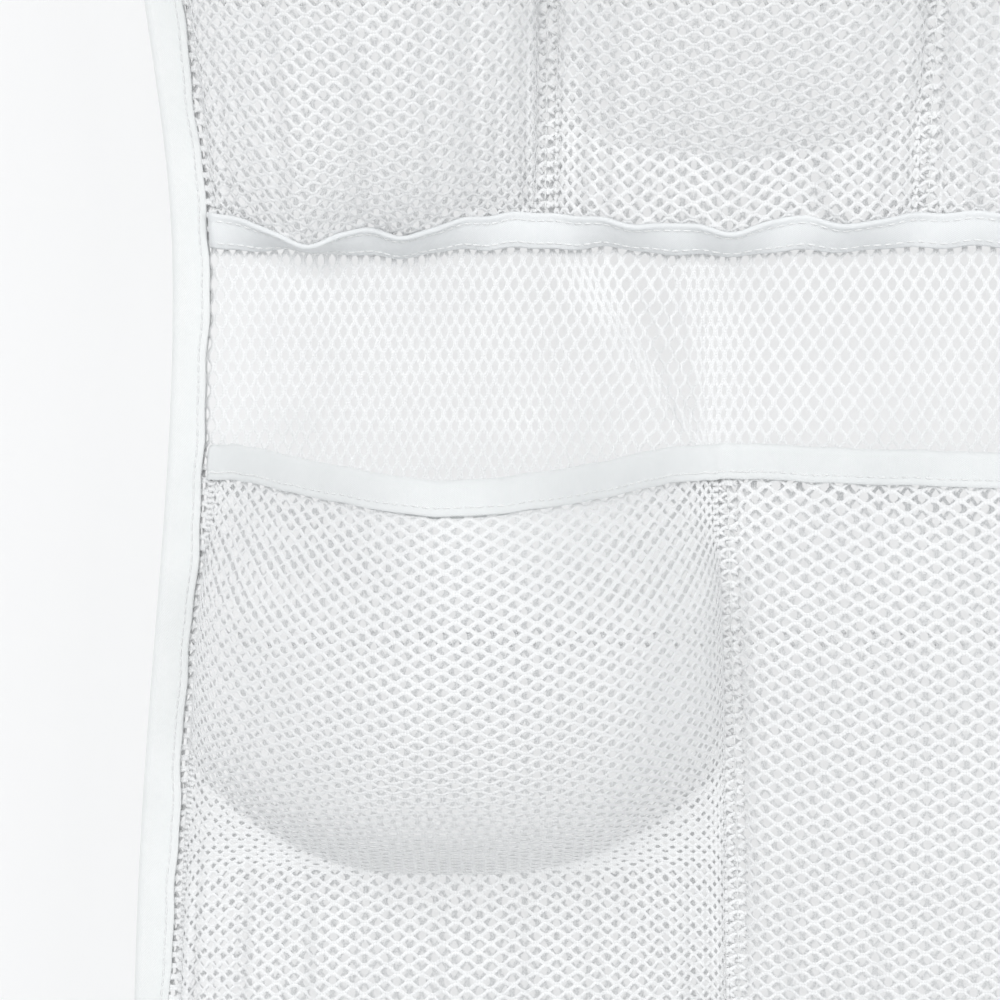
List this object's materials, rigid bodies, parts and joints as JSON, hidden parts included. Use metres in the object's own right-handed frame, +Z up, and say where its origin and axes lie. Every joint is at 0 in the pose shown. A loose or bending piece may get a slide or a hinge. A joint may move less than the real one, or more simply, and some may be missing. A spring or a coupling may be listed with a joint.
{
  "type": "hanging mesh shower caddy",
  "caption": "Hanging net panel with rows of net pockets, bound in folded tape, with eyelets in its header and hinged snap rings that hook over a shower rod.",
  "frame": {"origin": "on the axis of the rod that the rings hang on, half way across the panel and in the middle of the back net's thickness", "axes": "+X to the right seen from the front, +Y back through the panel towards the wall or curtain, +Z up; the pockets stand out towards -Y"},
  "size_m": [0.356, 0.1028, 0.7997],
  "materials": {
    "net_white": "knitted net",
    "tape_white": "woven tape",
    "nickel": "bright nickel"
  },
  "bodies": {
    "panel": {"back_net": "net_white", "upper_pocket_net": "net_white", "middle_pocket_net": "net_white", "lower_pocket_net": "net_white", "header_band": "tape_white", "left_binding": "tape_white", "right_binding": "tape_white", "bottom_binding": "tape_white", "upper_mouth_tape": "tape_white", "middle_mouth_tape": "tape_white", "lower_mouth_tape": "tape_white", "upper_base_tape": "tape_white", "middle_base_tape": "tape_white", "eyelet_1": "nickel", "eyelet_2": "nickel", "eyelet_3": "nickel", "eyelet_4": "nickel", "washer_1": "nickel", "washer_2": "nickel", "washer_3": "nickel", "washer_4": "nickel"},
    "ring_1": {"ring_1_lower": "nickel", "ring_1_pin": "nickel"},
    "gate_1": {"ring_1_gate": "nickel"},
    "ring_2": {"ring_2_lower": "nickel", "ring_2_pin": "nickel"},
    "gate_2": {"ring_2_gate": "nickel"},
    "ring_3": {"ring_3_lower": "nickel", "ring_3_pin": "nickel"},
    "gate_3": {"ring_3_gate": "nickel"},
    "ring_4": {"ring_4_lower": "nickel", "ring_4_pin": "nickel"},
    "gate_4": {"ring_4_gate": "nickel"}
  },
  "joints": [
    {"name": "ring_1_swing", "type": "hinge", "parent": "panel", "child": "ring_1", "pos_m": [-0.153, 0, -0.0349], "axis": [1, 0, 0], "range_deg": [-60, 60]},
    {"name": "gate_1_open", "type": "hinge", "parent": "ring_1", "child": "gate_1", "pos_m": [-0.153, 0.0272, -0.0123], "axis": [-1, 0, 0], "range_deg": [0, 75]},
    {"name": "ring_2_swing", "type": "hinge", "parent": "panel", "child": "ring_2", "pos_m": [-0.051, 0, -0.0349], "axis": [1, 0, 0], "range_deg": [-60, 60]},
    {"name": "gate_2_open", "type": "hinge", "parent": "ring_2", "child": "gate_2", "pos_m": [-0.051, 0.0272, -0.0123], "axis": [-1, 0, 0], "range_deg": [0, 75]},
    {"name": "ring_3_swing", "type": "hinge", "parent": "panel", "child": "ring_3", "pos_m": [0.051, 0, -0.0349], "axis": [1, 0, 0], "range_deg": [-60, 60]},
    {"name": "gate_3_open", "type": "hinge", "parent": "ring_3", "child": "gate_3", "pos_m": [0.051, 0.0272, -0.0123], "axis": [-1, 0, 0], "range_deg": [0, 75]},
    {"name": "ring_4_swing", "type": "hinge", "parent": "panel", "child": "ring_4", "pos_m": [0.153, 0, -0.0349], "axis": [1, 0, 0], "range_deg": [-60, 60]},
    {"name": "gate_4_open", "type": "hinge", "parent": "ring_4", "child": "gate_4", "pos_m": [0.153, 0.0272, -0.0123], "axis": [-1, 0, 0], "range_deg": [0, 75]}
  ]
}
